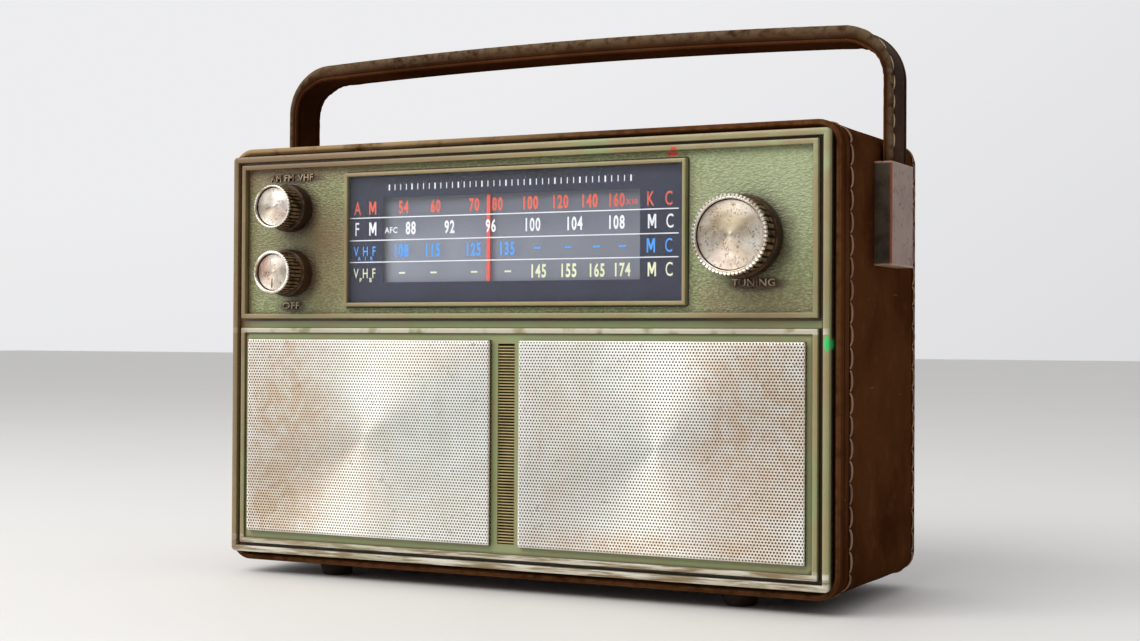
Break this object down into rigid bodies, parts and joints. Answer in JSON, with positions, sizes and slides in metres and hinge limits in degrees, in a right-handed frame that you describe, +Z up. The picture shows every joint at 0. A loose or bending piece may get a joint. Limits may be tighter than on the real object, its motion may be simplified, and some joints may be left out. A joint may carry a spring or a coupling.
{
  "type": "portable radio",
  "caption": "Portable multi-band radio in a leatherette cabinet with a dial, rotary controls, perforated grilles, a drop-down strap handle and a telescopic antenna.",
  "frame": {"origin": "centre of the overall footprint, on the ground under the feet", "axes": "+Z up, +X to the right when facing the front, -Y towards the front with the dial and knobs"},
  "size_m": [0.249, 0.102, 0.1962],
  "materials": {
    "leatherette": "satin",
    "handle_leatherette": "satin",
    "panel_green": "satin",
    "dial_glass": "gloss",
    "dial_board": "matte",
    "pointer_red": "gloss",
    "grille_aluminium": "satin",
    "knob_brown": "satin",
    "knob_silver": "polished",
    "knob_aluminium": "satin",
    "bracket_plastic": "gloss",
    "steel": "satin",
    "zinc_steel": "satin",
    "foot_rubber": "matte",
    "back_plastic": "matte",
    "door_plastic": "matte",
    "board_laminate": "satin",
    "speaker_paper": "matte",
    "magnet_ferrite": "matte",
    "ferrite": "matte",
    "copper_wire": "gloss",
    "holder_nylon": "matte",
    "capacitor_aluminium": "satin",
    "transistor_metal": "satin",
    "can_metal": "satin",
    "transformer_iron": "matte",
    "control_case": "satin",
    "jack_plastic": "satin",
    "battery_tray": "matte",
    "battery_jacket": "gloss",
    "contact_metal": "satin",
    "antenna_chrome": "polished",
    "drum_plastic": "matte",
    "pulley_brass": "satin",
    "cord_thread": "matte",
    "wire_plastic": "satin"
  },
  "bodies": {
    "cabinet": {"cabinet_shell": "leatherette", "front_panel": "panel_green", "dial_window": "dial_glass", "dial_backplate": "dial_board", "left_grille": "grille_aluminium", "right_grille": "grille_aluminium", "left_handle_bracket": "bracket_plastic", "right_handle_bracket": "bracket_plastic", "bracket_nuts": "steel", "feet": "foot_rubber", "back_cover": "back_plastic", "back_cover_screws": "steel", "chassis_plate": "zinc_steel", "chassis_screws": "steel", "circuit_board": "board_laminate", "speaker_frames": "zinc_steel", "speaker_cones": "speaker_paper", "speaker_magnets": "magnet_ferrite", "tuning_capacitor_frame": "can_metal", "volume_control": "control_case", "band_switch": "control_case", "ferrite_rod": "ferrite", "aerial_coils": "copper_wire", "rod_holders": "holder_nylon", "if_cans": "can_metal", "transistors": "transistor_metal", "capacitors": "capacitor_aluminium", "output_transformer": "transformer_iron", "earphone_jack": "jack_plastic", "battery_box": "battery_tray", "battery_cells": "battery_jacket", "battery_contacts": "contact_metal", "antenna_tube": "antenna_chrome", "dial_cord": "cord_thread", "wiring": "wire_plastic"},
    "band_knob": {"band_knob_body": "knob_brown", "band_knob_ring": "knob_silver", "band_knob_disc": "knob_aluminium", "band_shaft": "steel"},
    "volume_knob": {"volume_knob_body": "knob_brown", "volume_knob_ring": "knob_silver", "volume_knob_disc": "knob_aluminium", "volume_shaft": "steel"},
    "tuning_knob": {"tuning_knob_body": "knob_brown", "tuning_knob_ring": "knob_silver", "tuning_knob_disc": "knob_aluminium", "tuning_shaft": "steel"},
    "tuning_rotor": {"dial_drum": "drum_plastic", "tuning_capacitor_rotor": "can_metal"},
    "left_pulley": {"cord_pulley_left": "pulley_brass"},
    "right_pulley": {"cord_pulley_right": "pulley_brass"},
    "pointer": {"dial_pointer": "pointer_red"},
    "handle": {"handle_strap": "handle_leatherette", "handle_core": "steel"},
    "door": {"battery_door": "door_plastic"},
    "antenna_1": {"antenna_section_1": "antenna_chrome"},
    "antenna_2": {"antenna_section_2": "antenna_chrome"},
    "antenna_3": {"antenna_section_3": "antenna_chrome"},
    "antenna_4": {"antenna_section_4": "antenna_chrome"}
  },
  "joints": [
    {"name": "tuning_knob_turn", "type": "hinge", "parent": "cabinet", "child": "tuning_knob", "pos_m": [0.0864, -0.04, 0.1205], "axis": [0, 1, 0], "range_deg": [-600, 900]},
    {"name": "tuning_rotor_turn", "type": "hinge", "parent": "cabinet", "child": "tuning_rotor", "pos_m": [0.044, -0.028, 0.1142], "axis": [0, 1, 0], "range_deg": [-72, 108]},
    {"name": "left_pulley_turn", "type": "hinge", "parent": "cabinet", "child": "left_pulley", "pos_m": [-0.058, -0.028, 0.1432], "axis": [0, 1, 0], "range_deg": [-378, 567]},
    {"name": "right_pulley_turn", "type": "hinge", "parent": "cabinet", "child": "right_pulley", "pos_m": [0.076, -0.028, 0.1432], "axis": [0, 1, 0], "range_deg": [-378, 567]},
    {"name": "pointer_slide", "type": "slide", "parent": "cabinet", "child": "pointer", "axis": [1, 0, 0], "range_m": [-0.0357, 0.0535]},
    {"name": "volume_knob_turn", "type": "hinge", "parent": "cabinet", "child": "volume_knob", "pos_m": [-0.0905, -0.04, 0.1109], "axis": [0, 1, 0], "range_deg": [0, 300]},
    {"name": "band_knob_turn", "type": "hinge", "parent": "cabinet", "child": "band_knob", "pos_m": [-0.0905, -0.04, 0.1346], "axis": [0, 1, 0], "range_deg": [-30, 60]},
    {"name": "handle_slide", "type": "slide", "parent": "cabinet", "child": "handle", "axis": [0, 0, 1], "range_m": [-0.027, 0]},
    {"name": "battery_door_hinge", "type": "hinge", "parent": "cabinet", "child": "door", "pos_m": [-0.045, 0.0496, 0.0252], "axis": [-1, 0, 0], "range_deg": [0, 95]},
    {"name": "antenna_slide_1", "type": "slide", "parent": "cabinet", "child": "antenna_1", "axis": [0, 0, 1], "range_m": [0, 0.1]},
    {"name": "antenna_slide_2", "type": "slide", "parent": "antenna_1", "child": "antenna_2", "axis": [0, 0, 1], "range_m": [0, 0.1]},
    {"name": "antenna_slide_3", "type": "slide", "parent": "antenna_2", "child": "antenna_3", "axis": [0, 0, 1], "range_m": [0, 0.1]},
    {"name": "antenna_slide_4", "type": "slide", "parent": "antenna_3", "child": "antenna_4", "axis": [0, 0, 1], "range_m": [0, 0.1]}
  ],
  "couplings": [
    {"joint": "tuning_rotor_turn", "follows": "tuning_knob_turn", "ratio": 0.11972},
    {"joint": "left_pulley_turn", "follows": "tuning_knob_turn", "ratio": 0.62963},
    {"joint": "right_pulley_turn", "follows": "tuning_knob_turn", "ratio": 0.62963},
    {"joint": "pointer_slide", "follows": "tuning_knob_turn", "m_per_rad": 0.0034}
  ]
}
